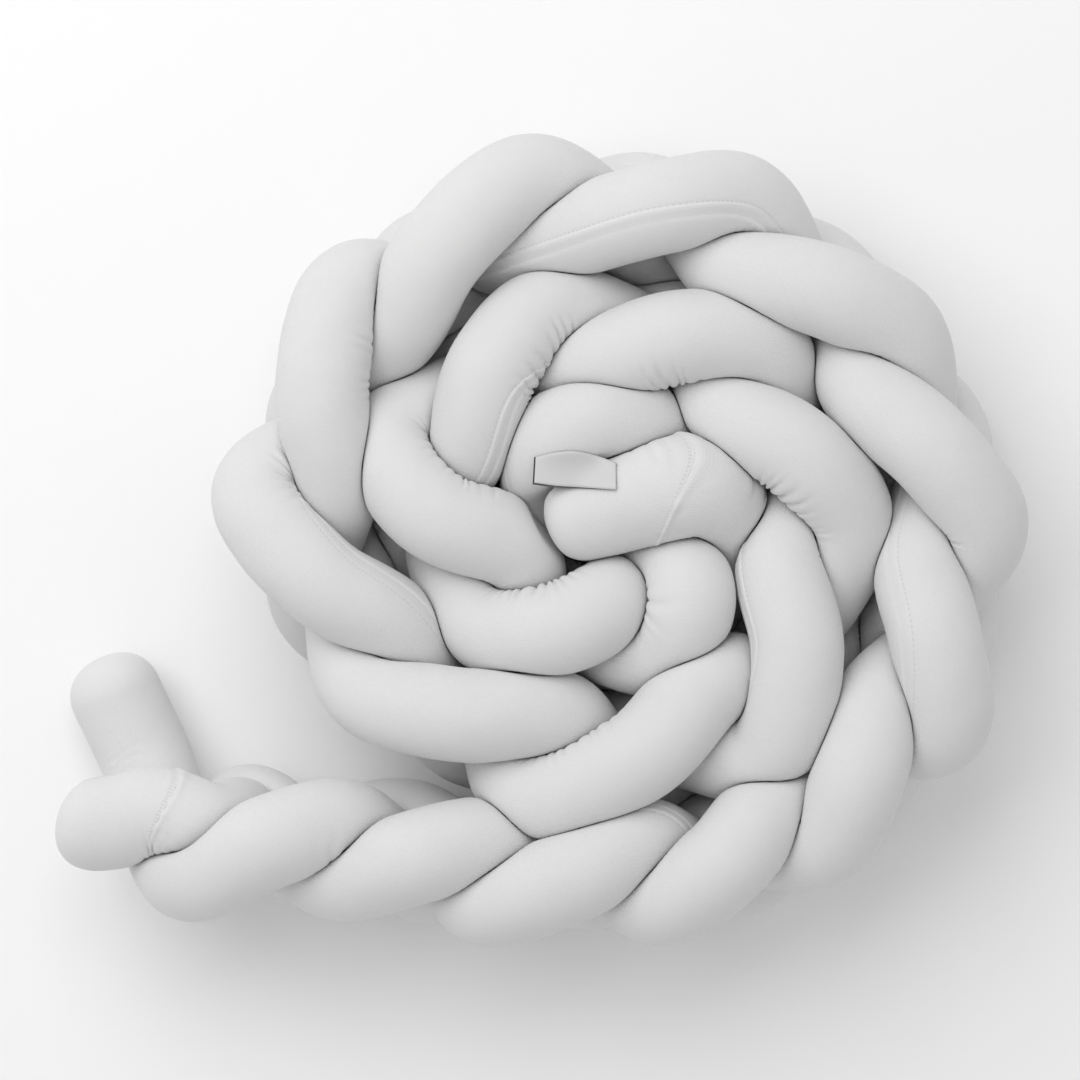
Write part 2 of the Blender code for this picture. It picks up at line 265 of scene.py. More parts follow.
# Where the cloth is gathered into puckers beside a crease.
# Columns: x and y of the middle of the puckers, how far they spread, how deep they are, in millimetres.
PUCKER_ROWS = {
    "a": (
        (16, 144, 9, 2.8),
        (8, 131, 9, 2.8),
        (0, 118, 9, 3.0),
        (-5, 107, 9, 2.4),
        (-178, 56, 11, 2.2),
        (-169, 34, 11, 2.2),
        (78, -45, 16, 2.2),
        (-262, -223, 16, 1.6),
    ),
    "b": (
        (-76, 70, 9, 2.0),
        (-62, 58, 9, 2.0),
        (-47, 48, 9, 1.8),
        (-32, 40, 9, 1.6),
        (154, 38, 9, 3.0),
        (166, 30, 9, 2.8),
        (178, 22, 9, 2.8),
        (60, 71, 10, 1.6),
        (80, 63, 10, 1.6),
        (96, 57, 10, 1.4),
        (-144, -219, 12, 1.8),
    ),
    "c": (
        (-16, -35, 9, 2.8),
        (-4, -31, 9, 3.0),
        (8, -25, 9, 3.0),
        (20, -18, 9, 2.8),
        (80, 114, 9, 2.4),
        (94, 110, 9, 2.2),
        (108, 105, 9, 2.2),
        (10, -145, 9, 2.2),
        (26, -136, 9, 2.2),
        (42, -127, 9, 2.2),
        (-119, 137, 10, 1.6),
        (-116, 109, 10, 1.8),
    ),
}
LOWEST_GATHER = 0.065  # the puckers of the rows start at this height
GATHER_FADE = 0.03  # and have their full depth this far above it
PUCKER_WIDTHS = (0.0055, 0.0135)  # of the narrowest and the widest pucker
PUCKER_PATCH = 0.030  # size of the patches in which the bends pucker more or less
PUCKER_STRAY = 0.004  # how far a pucker wanders along the tube
PUCKER_STRAY_SIZE = 0.018
PUCKER_ROUNDNESS = 0.7
PUCKER_LEVEL = 0.75  # how far up a pucker the tube's own surface lies, as a share of its depth

# How large the soft lumps of the filling are.
LUMP_SIZE = 0.055
SMALL_LUMP_SIZE = 0.022
SMALL_LUMP_SHARE = 0.4

# The label, sewn by one long edge into the crease between strand C and strand B's cap, in millimetres.
# Columns: x and y of the sewn edge, then x and y of the loose edge.
LABEL_ROWS = (
    (-3, 58, -4, 40),
    (10, 61, 11, 38),
    (24, 62, 26, 37),
    (39, 59, 40, 36),
    (53, 54, 53, 35),
)
LABEL_REACH = 0.024  # from the sewn edge to the loose edge
LABEL_DROP = 0.010  # the tape follows the tubes this far down from its highest place
LABEL_CLEARANCE = 0.0004
LABEL_PASSES = 30  # of the smoothing that draws the tape taut
BACK_RISE = 0.0002  # the back layer above the taut tape
FRONT_RISE = 0.0013  # the front layer above it
FOLD_RISE = 0.0005  # the front layer above the back layer at the sewn edge
BACK_LIFT_SHARE = 0.2  # how much of the front layer's lift the back layer follows
END_MOUTH_SHARE = 0.7  # how much of the mouth shows at the left end

# How finely the tubes are modelled.
POINTS_PER_SPAN = 24
ROUTE_STEP = 0.001
ROUTE_SOFTNESS = 0.007  # rounds the corners of the route
BEND_SOFTNESS = 0.006  # evens out how sharply the route bends
TURN_SOFTNESS = 0.013  # evens out the turn of the seam
RING_SPACING = 0.0034
PUCKER_RINGS = 2.0  # how many more rings there are where the cloth is puckered, for each ring elsewhere
PUCKER_REACH = 0.017
TIP_RINGS = 16
FEELER_STEP = 0.003  # between the places of a neighbouring tube that are felt for
PRESS_GAP = 0.0005  # between two tubes that press on each other
PRESS_SOFTNESS = 0.0038  # rounds the edges of the places where tubes press on each other
SEAM_GAP = 0.00006  # between a strand and its cap

# Where the corners of the mesh lie close together, in millimetres: columns beside the seam along the tube,
# and rings beside the seam across it.
SEAM_COLUMNS = (0.0, 0.8, 1.6, 2.4, 3.2, 4.0, 5.0, 6.4, 8.2)
SEAM_RINGS = (0.6, 1.2, 1.8, 2.5, 3.3, 4.3, 5.6, 7.4)
EVEN_COLUMNS = 57

# The jersey's finish, as shares of the height of its relief or of its colour.
WALE_SHARE = 0.6  # of the knit's relief that its columns make, and the rest its courses
KNIT_SHARE = 0.5
FUZZ_SHARE = 0.8
STITCH_DENT = 1.6
THREAD_SHARE = 0.35

# The stage.
FLOOR_DROP = 0.0005  # how far the floor lies below the lowest folds
KEY_PLACE = (-1.1, 1.5, 2.7)
KEY_SIZE = 3.0


# -------------------------------- the routes of the strands


def smooth_curve(knots, places, per_span):
    """A smooth curve through knots that lie at increasing places, with per_span points in each span."""
    spans = np.diff(places)[:, None]
    slopes = np.diff(knots, axis=0) / spans
    inner = (slopes[:-1] * spans[1:] + slopes[1:] * spans[:-1]) / (spans[:-1] + spans[1:])
    slopes = np.vstack([slopes[:1], inner, slopes[-1:]])
    points = []
    for i in range(len(knots) - 1):
        t = np.linspace(0.0, 1.0, per_span, endpoint=False)[:, None]
        leave = slopes[i] * spans[i]
        arrive = slopes[i + 1] * spans[i]
        points.append(
            knots[i] * (1 + 2 * t) * (1 - t) ** 2
            + leave * t * (1 - t) ** 2
            + knots[i + 1] * t**2 * (3 - 2 * t)
            + arrive * t**2 * (t - 1)
        )
    return np.vstack(points + [knots[-1:]])


def arc_lengths(points):
    """How far along a line of points each of them lies."""
    steps = np.linalg.norm(np.diff(points, axis=0), axis=1)
    return np.concatenate([[0.0], np.cumsum(steps)])


def points_at(points, distances):
    """The points at these distances along a line of points."""
    along = arc_lengths(points)
    return np.stack([np.interp(distances, along, points[:, i]) for i in range(3)], axis=-1)


def softened(values, width):
    """Values along a line, blurred over a width counted in values, with both ends held in place."""
    half = int(3 * width) + 1
    kernel = np.exp(-0.5 * (np.arange(-half, half + 1) / width) ** 2)
    kernel /= kernel.sum()
    before = 2 * values[:1] - values[half:0:-1]
    after = 2 * values[-1:] - values[-2 : -half - 2 : -1]
    padded = np.concatenate([before, values, after])
    return np.stack([np.convolve(padded[:, i], kernel, "valid") for i in range(values.shape[1])], axis=1)


def plait_middle(place):
    """The plait's middle at a place counted in crossings, the direction out of the coil, and the lean."""
    rows = np.array(CROSSINGS, float) * MM
    count = len(rows)
    first = min(max(int(math.floor(place)), 0), count - 2)
    picked = rows[[max(first - 1, 0), first, first + 1, min(first + 2, count - 1)]]
    a, b, c, d = picked[:, [2, 3, 6]]
    t = place - first
    middle = b + (c - a) * t / 2 + (a - 2.5 * b + 2 * c - d / 2) * t**2 + (1.5 * (b - c) + (d - a) / 2) * t**3
    slope = (c - a) / 2 + (2 * a - 5 * b + 4 * c - d) * t + (4.5 * (b - c) + 1.5 * (d - a)) * t**2
    ahead = slope[:2] / np.linalg.norm(slope[:2])
    return middle[:2], np.array([ahead[1], -ahead[0]]), middle[2]


def strand_route(strand):
    """Points ROUTE_STEP apart along a strand's axis, from its outer end to its inner end."""
    first = STRANDS.index(strand)
    knots = []
    for crossing in range(first, len(CROSSINGS), len(STRANDS)):
        row = np.array(CROSSINGS[crossing][:6], float) * MM
        for i, past in enumerate((-BULGE_AT, 0.0, BULGE_AT)):
            knots.append((crossing + past, past, row[2 * i], row[2 * i + 1]))
        for past, side in LOW_FOLDS:
            if crossing + past > len(CROSSINGS) - 1:
                continue
            middle, outwards, lean = plait_middle(crossing + past)
            spot = middle + outwards * (side * LOW_BULGE + lean)
            knots.append((crossing + past, past, spot[0], spot[1]))
    kept = [
        (x, y, MIDDLE_AXIS + AXIS_SWING * math.cos(past * math.tau / len(STRANDS)))
        for place, past, x, y in knots
        if START_AT[strand] < place < END_AT[strand]
    ]
    start = np.array(START_ROWS[strand], float) * MM
    end = np.array(END_ROWS[strand], float) * MM
    line = np.vstack([start, kept, end])
    curve = smooth_curve(line, arc_lengths(line), POINTS_PER_SPAN) + TO_OUTLINE_MIDDLE
    steps = np.linspace(0.0, arc_lengths(curve)[-1], int(arc_lengths(curve)[-1] / ROUTE_STEP))
    return softened(points_at(curve, steps), ROUTE_SOFTNESS / ROUTE_STEP)


def tip_radius(distance):
    """The tube's radius this far from the very end of a rounded tip."""
    inside = np.clip(1 - np.asarray(distance) / TIP_LENGTH, 0.0, 1.0)
    return TUBE_RADIUS * (1 - inside**TIP_BLUNTNESS) ** (1 / TIP_BLUNTNESS)


def radius_along(strand, distances, length):
    """The strand's radius at these distances from its outer end, where nothing presses on it."""
    radius = np.minimum(tip_radius(distances), tip_radius(length - distances))
    if strand == "b":
        from_seam = (length - INNER_CAP - distances) / SWELL_LENGTH
        radius = radius * (1 + INNER_SWELL * np.exp(-(from_seam**2)))
    return radius


# -------------------------------- the surface of a tube


class Route:
    """A strand's axis with its directions, bends and the turn of the seam along it."""

    def __init__(self, strand):
        self.strand = strand
        self.points = strand_route(strand)
        self.along = arc_lengths(self.points)
        self.length = self.along[-1]
        ahead = np.gradient(self.points, axis=0)
        self.ahead = ahead / np.linalg.norm(ahead, axis=1, keepdims=True)
        bend = np.gradient(self.ahead, axis=0) / np.gradient(self.along)[:, None]
        self.bend = softened(bend, BEND_SOFTNESS / ROUTE_STEP)
        self.carried = self.carried_direction()
        self.turn, self.seam_share = self.seam_turn()

    def carried_direction(self):
        """A direction square to the axis, carried along it without twisting."""
        direction = np.cross(self.ahead[0], (0.0, 0.0, 1.0))
        carried = []
        for ahead in self.ahead:
            direction = direction - ahead * direction.dot(ahead)
            direction = direction / np.linalg.norm(direction)
            carried.append(direction)
        return np.array(carried)

    def seam_turn(self):
        """The angle from the carried direction to the seam and the share of its height, along the axis."""
        across = np.cross(self.ahead, self.carried)
        places = []
        turns = []
        shares = []
        rows = SEAM_ROWS[self.strand]
        for place, (_, _, degrees, percent) in zip(self.beside(rows), rows):
            i = int(np.searchsorted(self.along, place))
            up = np.array((0.0, 0.0, 1.0)) - self.ahead[i] * self.ahead[i][2]
            up /= np.linalg.norm(up)
            left = np.cross(up, self.ahead[i])
            wanted = up * math.cos(math.radians(degrees)) + left * math.sin(math.radians(degrees))
            turn = math.atan2(wanted.dot(across[i]), wanted.dot(self.carried[i]))
            if turns:
                turn += round((turns[-1] - turn) / math.tau) * math.tau
            places.append(self.along[i])
            turns.append(turn)
            shares.append(percent / 100)
        values = np.stack([np.interp(self.along, places, column) for column in (turns, shares)], axis=1)
        return softened(values, TURN_SOFTNESS / ROUTE_STEP).T

    def beside(self, rows):
        """How far along the high parts of the axis come closest, seen from above, to the places of rows."""
        high = self.points[:, 2] > HIGH_AXIS - TUBE_DIAMETER / 2
        found = []
        for x, y, *_ in rows:
            away = np.linalg.norm(self.points[:, :2] - np.array((x, y)) * MM, axis=1)
            found.append(int(np.argmin(np.where(high, away, np.inf))))
        return self.along[found]

    def read(self, values, distances):
        """Values kept along the axis, read at an array of distances."""
        if values.ndim == 1:
            return np.interp(distances, self.along, values)
        return np.stack([np.interp(distances, self.along, column) for column in values.T], axis=-1)


def column_places():
    """Distances round the tube at which its columns of corners lie, from the seam and back to it."""
    close = np.array(SEAM_COLUMNS) * MM
    even = np.linspace(close[-1], TUBE_ROUND - close[-1], EVEN_COLUMNS + 1)
    return np.concatenate([close[:-1], even, TUBE_ROUND - close[:0:-1]])


def ring_places(length, seam, puckered):
    """Distances along a strand at which its rings lie, closest at its ends, puckers and cap's seam."""
    tip = TIP_LENGTH * (1 - np.cos(np.linspace(0.0, math.pi / 2, TIP_RINGS + 1)[1:]))
    body = np.arange(tip[-1], length - tip[-1], ROUTE_STEP)
    closer = np.exp(-(((body[:, None] - np.array(puckered)) / PUCKER_REACH) ** 2)).sum(axis=1)
    counted = np.cumsum((1 + PUCKER_RINGS * np.minimum(closer, 1.0)) * ROUTE_STEP / RING_SPACING)
    between = np.interp(np.arange(1, int(counted[-1])), counted, body)
    places = np.concatenate([tip, between, length - tip[::-1]])
    if seam is None:
        return places
    near = np.array(SEAM_RINGS) * MM
    places = places[np.abs(places - seam) > near[-1] + RING_SPACING / 3]
    edges = (seam - SEAM_GAP / 2, seam + SEAM_GAP / 2)
    return np.sort(np.concatenate([places, edges, seam - near, seam + near]))


def pressed_reach(route, spots, outwards, widths, along, routes):
    """How far each corner may go from the axis before it meets a neighbouring tube, ring by ring.

    Two tubes that press on each other meet where both would be equally far outside their own round form.
    """
    reach = np.full(spots.shape[:2], 1.0)
    lines = []
    for other in routes.values():
        steps = np.arange(0.0, other.length, FEELER_STEP)
        radii = radius_along(other.strand, steps, other.length)
        lines.append((other.strand, steps, other.read(other.points, steps), radii))
    for i in range(len(spots)):
        centre = spots[i].mean(axis=0)
        for name, steps, line, radii in lines:
            close = np.linalg.norm(line - centre, axis=1) < 2 * TUBE_DIAMETER
            if name == route.strand:
                close &= np.abs(steps - along[i].mean()) > OWN_REACH
            if not close.any():
                continue
            apart = line[close][None] - spots[i][:, None]
            extra = radii[close][None] - widths[i][:, None] + PRESS_GAP
            towards = extra + (apart * outwards[i][:, None]).sum(axis=2)
            meets = (apart**2).sum(axis=2) - extra**2
            far = np.where(towards > 0, meets / (2 * np.maximum(towards, 1e-9)), np.inf)
            reach[i] = np.minimum(reach[i], far.min(axis=1))
    return reach


def blur_matrix(gaps, widths, softness):
    """Weights that blur values over a real distance, from the gaps between them and their own widths."""
    weights = np.exp(-0.5 * (gaps / softness) ** 2) * widths[None]
    return weights / weights.sum(axis=1, keepdims=True)


def smooth_noise(spots, size, seed):
    """Soft random values from -1 to 1 at an array of points, with lumps of about this size."""
    shift = mathutils.Vector((seed * 7.31, seed * 3.77, seed * 5.19))
    flat = spots.reshape(-1, 3) / size
    values = [noise.noise(mathutils.Vector(spot) + shift) for spot in flat]
    return np.array(values).reshape(spots.shape[:-1])


def pucker_edges(length, seed):
    """Where the puckers along a tube begin and end, each a little unlike the next in width."""
    draw = np.random.default_rng(seed)
    widths = draw.uniform(*PUCKER_WIDTHS, int(length / PUCKER_WIDTHS[0]) + 2)
    return np.concatenate([[0.0], np.cumsum(widths)])


def gathered(strand, spots):
    """How deep the cloth is puckered beside the creases that show from above."""
    depth = np.zeros(spots.shape[:2])
    for row in PUCKER_ROWS[strand]:
        x, y, spread, deep = np.array(row) * MM
        away = np.linalg.norm(spots[..., :2] - np.array((x, y)), axis=-1)
        depth += deep * np.exp(-((away / spread) ** 2))
    return depth * np.clip((spots[..., 2] - LOWEST_GATHER) / GATHER_FADE, 0.0, 1.0)


class Tube:
    """The surface of one strand and its cap: corners in rings and columns, with their cloth coordinates."""

    def __init__(self, strand, routes, sizes):
        self.route = routes[strand]
        self.sizes = sizes
        self.seed = STRANDS.index(strand) + 1
        self.seam = {"a": KNOB_CAP, "b": self.route.length - INNER_CAP, "c": None}[strand]
        self.inwards = 1.0 if self.seam == KNOB_CAP else -1.0  # from the cap's seam into the strand
        self.places = ring_places(self.route.length, self.seam, self.route.beside(PUCKER_ROWS[strand]))
        self.columns = column_places()[:-1]
        self.along = np.repeat(self.places[:, None], len(self.columns), axis=1)
        self.outwards = self.directions()
        if self.seam is not None:
            self.along = self.along + self.slant(CAP_SEAM_NAMES[strand])
            self.outwards = self.directions()
        self.corners = self.surface(routes)

    def directions(self):
        """The unit vectors out of the axis at each corner."""
        ahead = self.route.read(self.route.ahead, self.along)
        carried = self.route.read(self.route.carried, self.along)
        carried = carried - ahead * (carried * ahead).sum(axis=-1, keepdims=True)
        carried /= np.linalg.norm(carried, axis=-1, keepdims=True)
        across = np.cross(ahead, carried)
        turn = self.route.read(self.route.turn, self.along) + self.columns / TUBE_ROUND * math.tau
        return carried * np.cos(turn)[..., None] + across * np.sin(turn)[..., None]

    def slant(self, seam_name):
        """How far the corners near the cap's seam move along the tube to follow its skew and its bow."""
        skew, bow, shift = (getattr(self.sizes, f"{seam_name}_{part}") for part in ("skew", "bow", "shift"))
        ahead = self.route.read(self.route.ahead, self.along)
        up = np.array((0.0, 0.0, 1.0)) - ahead * ahead[..., 2:]
        up /= np.linalg.norm(up, axis=-1, keepdims=True)
        left = (self.outwards * np.cross(up, ahead)).sum(axis=-1)
        over = (self.outwards * up).sum(axis=-1)
        near = np.exp(-(((self.along - self.seam) / CAP_SLANT_FADE) ** 2))
        from_end = np.minimum(self.along, self.route.length - self.along)
        return (skew * left + bow * over + shift) * near * np.clip(from_end / TIP_LENGTH, 0.0, 1.0)

    def surface(self, routes):
        """The corners, pressed in by the neighbouring tubes and the floor, with the relief of the cloth."""
        spots = self.route.read(self.route.points, self.along)
        widths = radius_along(self.route.strand, self.along, self.route.length)
        reach = pressed_reach(self.route, spots, self.outwards, widths, self.along, routes)
        size = widths * self.softly_pressed(np.clip(reach / np.maximum(widths, 1e-6), 0.0, 1.0))
        rough = spots + self.outwards * size[..., None]
        size = np.minimum(size + self.relief(rough, widths), reach)
        down = -self.outwards[..., 2]
        to_floor = spots[..., 2] / np.where(down > 0, down, np.inf)
        size = np.where(down > 0, np.minimum(size, to_floor), size)
        return spots + self.outwards * size[..., None]

    def softly_pressed(self, share):
        """The pressed share of the radius, with the edges of the pressed places rounded."""
        gaps = np.abs(self.places[:, None] - self.places[None])
        along = blur_matrix(gaps, np.gradient(self.places), PRESS_SOFTNESS)
        gaps = np.abs(self.columns[:, None] - self.columns[None])
        gaps = np.minimum(gaps, TUBE_ROUND - gaps)
        wide = (np.roll(self.columns, -1) - np.roll(self.columns, 1)) % TUBE_ROUND / 2
        round_it = blur_matrix(gaps, wide, PRESS_SOFTNESS)
        return np.minimum(share, along @ share @ round_it.T)

    def relief(self, rough, widths):
        """How far the cloth stands out or in: its lumps, its puckers and its seams."""
        relief = self.sizes.lump_depth * smooth_noise(rough, LUMP_SIZE, self.seed)
        small = smooth_noise(rough, SMALL_LUMP_SIZE, self.seed + 10)
        relief += self.sizes.lump_depth * SMALL_LUMP_SHARE * small
        relief += self.puckers(rough, widths)
        relief += self.long_seam(rough)
        if self.seam is not None:
            relief += self.cap_seam(rough)
        return relief * np.clip(widths / TUBE_RADIUS, 0.0, 1.0) ** 2

    def puckers(self, rough, widths):
        """The small folds across the tube, inside its bends and beside the creases."""
        bend = self.route.read(self.route.bend, self.along)
        squeezed = (bend * self.outwards).sum(axis=-1) * widths
        uneven = np.clip(0.55 + 0.75 * smooth_noise(rough, PUCKER_PATCH, self.seed + 20), 0.0, 1.0)
        depth = np.sqrt(np.clip(squeezed - self.sizes.pucker_onset, 0.0, None)) * self.sizes.pucker_depth
        depth = depth * uneven + gathered(self.route.strand, rough)
        depth = np.clip(depth, 0.0, self.sizes.pucker_limit)
        edges = pucker_edges(self.route.length, self.seed)
        strayed = self.along + PUCKER_STRAY * smooth_noise(rough, PUCKER_STRAY_SIZE, self.seed + 30)
        count = np.interp(strayed, edges, np.arange(len(edges)))
        return depth * (np.abs(np.sin(math.pi * count)) ** PUCKER_ROUNDNESS - PUCKER_LEVEL)

    def long_seam(self, rough):
        """The seam along the tube: a rounded crest, and beside it the crease of the stitches."""
        round_it = np.where(self.columns > TUBE_ROUND / 2, self.columns - TUBE_ROUND, self.columns)
        stitched, plain = SEAM_CREST
        crest = np.exp(-((round_it / np.where(round_it > 0, stitched, plain)) ** 2))
        waver = 1 + SEAM_WAVER * smooth_noise(rough, SEAM_WAVER_SIZE, self.seed + 40)
        crease = np.exp(-(((round_it - STITCHES_ASIDE) / STITCH_CREASE) ** 2))
        share = self.route.read(self.route.seam_share, self.along)
        return self.sizes.seam_height * share * (crest * waver - STITCH_CREASE_SHARE * crease)

    def cap_seam(self, rough):
        """The seam across the tube: a ridge on the strand's side, a stitched groove and small gathers."""
        past = (self.places - self.seam)[:, None] * self.inwards
        ridge = np.exp(-(((past - CAP_RIDGE) / CAP_RIDGE) ** 2))
        groove = np.exp(-((past / CAP_GROOVE) ** 2))
        drawn = CAP_GATHER_DRIFT * smooth_noise(rough, CAP_GATHER_SIZE, self.seed + 50)
        gathers = np.sin(math.tau * self.columns[None] / CAP_GATHER_PITCH + drawn)
        on_strand = past > 0
        deep, far = (np.where(on_strand, *pair) for pair in zip(STRAND_GATHERS, CAP_GATHERS))
        height = self.sizes.seam_height * (CAP_RIDGE_SHARE * ridge - CAP_GROOVE_SHARE * groove)
        return height + deep * np.exp(-np.abs(past) / far) * gathers

    def cap_stitches(self):
        """Where the stitches beside the cap's seam lie along the tube, and how long each of them is."""
        if self.seam is None:
            return None
        length = CAP_STITCH_LENGTHS[self.route.strand]
        return self.seam - self.inwards * (CAP_STITCH_START + length / 2), length


def tube_mesh(name, tube, first, last, open_start, open_end):
    """A closed mesh through the tube's rings from first to last, flat at a sewn end, pointed on a tip."""
    corners = tube.corners[first : last + 1]
    rings, sides = corners.shape[:2]
    grid = np.arange(rings * sides).reshape(rings, sides)
    beside = np.roll(grid, -1, axis=1)
    quads = np.stack([grid[:-1], beside[:-1], beside[1:], grid[1:]], axis=-1).reshape(-1, 4)
    round_it = np.append(tube.columns, TUBE_ROUND)
    u = np.stack([round_it[:-1], round_it[1:], round_it[1:], round_it[:-1]], axis=-1)
    u = np.broadcast_to(u, (rings - 1, sides, 4)).reshape(-1)
    along = tube.places[first : last + 1]
    v = np.stack([along[:-1], along[:-1], along[1:], along[1:]], axis=-1)
    v = np.broadcast_to(v[:, None], (rings - 1, sides, 4)).reshape(-1)
    points = [tuple(corner) for corner in corners.reshape(-1, 3)]
    faces = [tuple(face) for face in quads]
    cloth = list(zip(u, v))
    ends = ((grid[0][::-1], 0, open_start), (grid[-1], -1, open_end))
    for loop, end, is_open in ends:
        if is_open:
            faces.append(tuple(loop))
            cloth += [(0.0, along[end])] * sides
            continue
        points.append(tuple(tube.route.points[end]))
        for j in range(sides):
            faces.append((loop[j], loop[(j + 1) % sides], len(points) - 1))
            cloth += [(round_it[j], along[end])] * 3
    mesh = bpy.data.meshes.new(name)
    mesh.from_pydata(points, [], faces)
    layer = mesh.uv_layers.new(name="cloth")
    layer.uv.foreach_set("vector", np.array(cloth, np.float32).ravel())
    mesh.validate()
    soften_sides(mesh)
    piece = bpy.data.objects.new(name, mesh)
    bpy.context.scene.collection.objects.link(piece)
    return piece


def soften_sides(mesh):
    """Turns the faces outwards and shades them smooth, but for the flat sewn ends and their rims."""
    shell = bmesh.new()
    shell.from_mesh(mesh)
    bmesh.ops.recalc_face_normals(shell, faces=shell.faces)
    for face in shell.faces:
        face.smooth = len(face.verts) <= 4
    for edge in shell.edges:
        edge.smooth = all(face.smooth for face in edge.link_faces)
    shell.to_mesh(mesh)
    shell.free()


# -------------------------------- materials


def linear(hexadecimal):
    """An sRGB hex colour as linear red, green, blue and alpha."""
    channels = [int(hexadecimal[i : i + 2], 16) / 255 for i in (1, 3, 5)]
    return tuple(c / 12.92 if c <= 0.04045 else ((c + 0.055) / 1.055) ** 2.4 for c in channels) + (1.0,)


def add_node(tree, kind, settings=None, inputs=None):
    """A node of this kind with its settings, its inputs set to values or linked to other nodes' outputs."""
    node = tree.nodes.new(kind)
    for name, value in (settings or {}).items():
        setattr(node, name, value)
    for name, value in (inputs or {}).items():
        if isinstance(value, bpy.types.NodeSocket):
            tree.links.new(value, node.inputs[name])
        else:
            node.inputs[name].default_value = value
    return node


def math_node(tree, operation, *values):
    """The output of a maths node whose inputs are these numbers or other nodes' outputs."""
    return add_node(tree, "ShaderNodeMath", {"operation": operation}, dict(enumerate(values))).outputs[0]


def mixed_colour(tree, share, first, second):
    """The output of a node that mixes two colours."""
    inputs = {"Factor": share, "A": first, "B": second}
    return add_node(tree, "ShaderNodeMix", {"data_type": "RGBA"}, inputs).outputs["Result"]


def knit_height(tree, finish, round_it, along):
    """The knit: columns of stitches, one wale each, with the courses bowed across them."""
    wale = math_node(tree, "SINE", math_node(tree, "MULTIPLY", round_it, math.tau / finish.wale))
    bowed = math_node(tree, "MULTIPLY", math_node(tree, "ABSOLUTE", wale), finish.wale * 0.4)
    course = math_node(tree, "MULTIPLY", math_node(tree, "ADD", along, bowed), math.tau / finish.course)
    wale_share = math_node(tree, "MULTIPLY", wale, WALE_SHARE)
    course_share = math_node(tree, "MULTIPLY", math_node(tree, "SINE", course), 1 - WALE_SHARE)
    return math_node(tree, "ADD", wale_share, course_share)


def stitch_row(tree, across, middle, width, along, pitch, gap):
    """A row of stitches: 1 on them and 0 elsewhere. The gap is how high a wave is where a stitch starts."""
    aside = math_node(tree, "ABSOLUTE", math_node(tree, "SUBTRACT", across, middle))
    line = math_node(tree, "LESS_THAN", aside, width / 2)
    wave = math_node(tree, "SINE", math_node(tree, "MULTIPLY", along, math.tau / pitch))
    return math_node(tree, "MULTIPLY", line, math_node(tree, "GREATER_THAN", wave, gap))


def knitted_cotton_jersey(name, finish, length, cap_stitches):
    """Fine cotton jersey: matt with a soft bloom at grazing angles, small knit stitches, stitched seams."""
    material = bpy.data.materials.new(name)
    material.use_nodes = True
    tree = material.node_tree
    shader = tree.nodes["Principled BSDF"]
    shader.inputs["Roughness"].default_value = 0.88
    shader.inputs["Specular IOR Level"].default_value = 0.25
    shader.inputs["Sheen Weight"].default_value = finish.sheen
    shader.inputs["Sheen Roughness"].default_value = 0.45
    cloth = add_node(tree, "ShaderNodeUVMap", {"uv_map": "cloth"})
    parts = add_node(tree, "ShaderNodeSeparateXYZ", inputs={"Vector": cloth.outputs["UV"]})
    round_it = parts.outputs["X"]
    along = parts.outputs["Y"]
    place = add_node(tree, "ShaderNodeTexCoord").outputs["Object"]

    stitches = stitch_row(tree, round_it, STITCHES_ASIDE, STITCH_WIDTH, along, STITCH_PITCH, -0.2)
    if cap_stitches:
        row = stitch_row(tree, along, *cap_stitches, round_it, CAP_STITCH_PITCH, 0.1)
        stitches = math_node(tree, "MAXIMUM", stitches, row)

    mottle = add_node(
        tree, "ShaderNodeTexNoise", inputs={"Vector": place, "Scale": 34.0, "Detail": 4.0, "Roughness": 0.55}
    ).outputs["Fac"]
    dyed = mixed_colour(tree, mottle, tuple(finish.jersey_dark), tuple(finish.jersey_light))
    threads = math_node(tree, "MULTIPLY", stitches, THREAD_SHARE)
    tree.links.new(mixed_colour(tree, threads, dyed, tuple(finish.thread)), shader.inputs["Base Color"])

    # The stitch columns run together at a rounded tip, so their relief fades out there.
    from_tip = math_node(tree, "MINIMUM", along, math_node(tree, "SUBTRACT", length, along))
    fade = math_node(tree, "MINIMUM", math_node(tree, "MULTIPLY", from_tip, 1 / TIP_LENGTH), 1.0)
    knit = math_node(tree, "MULTIPLY", knit_height(tree, finish, round_it, along), KNIT_SHARE)
    fuzz = add_node(
        tree, "ShaderNodeTexNoise", inputs={"Vector": place, "Scale": 900.0, "Detail": 2.0, "Roughness": 0.6}
    ).outputs["Fac"]
    fuzz = math_node(tree, "MULTIPLY", fuzz, FUZZ_SHARE)
    height = math_node(tree, "ADD", math_node(tree, "MULTIPLY", knit, fade), fuzz)
    height = math_node(tree, "SUBTRACT", height, math_node(tree, "MULTIPLY", stitches, STITCH_DENT))
    bump = add_node(
        tree, "ShaderNodeBump", inputs={"Strength": finish.knit_bump, "Distance": 0.0003, "Height": height}
    )
    tree.links.new(bump.outputs["Normal"], shader.inputs["Normal"])
    return material


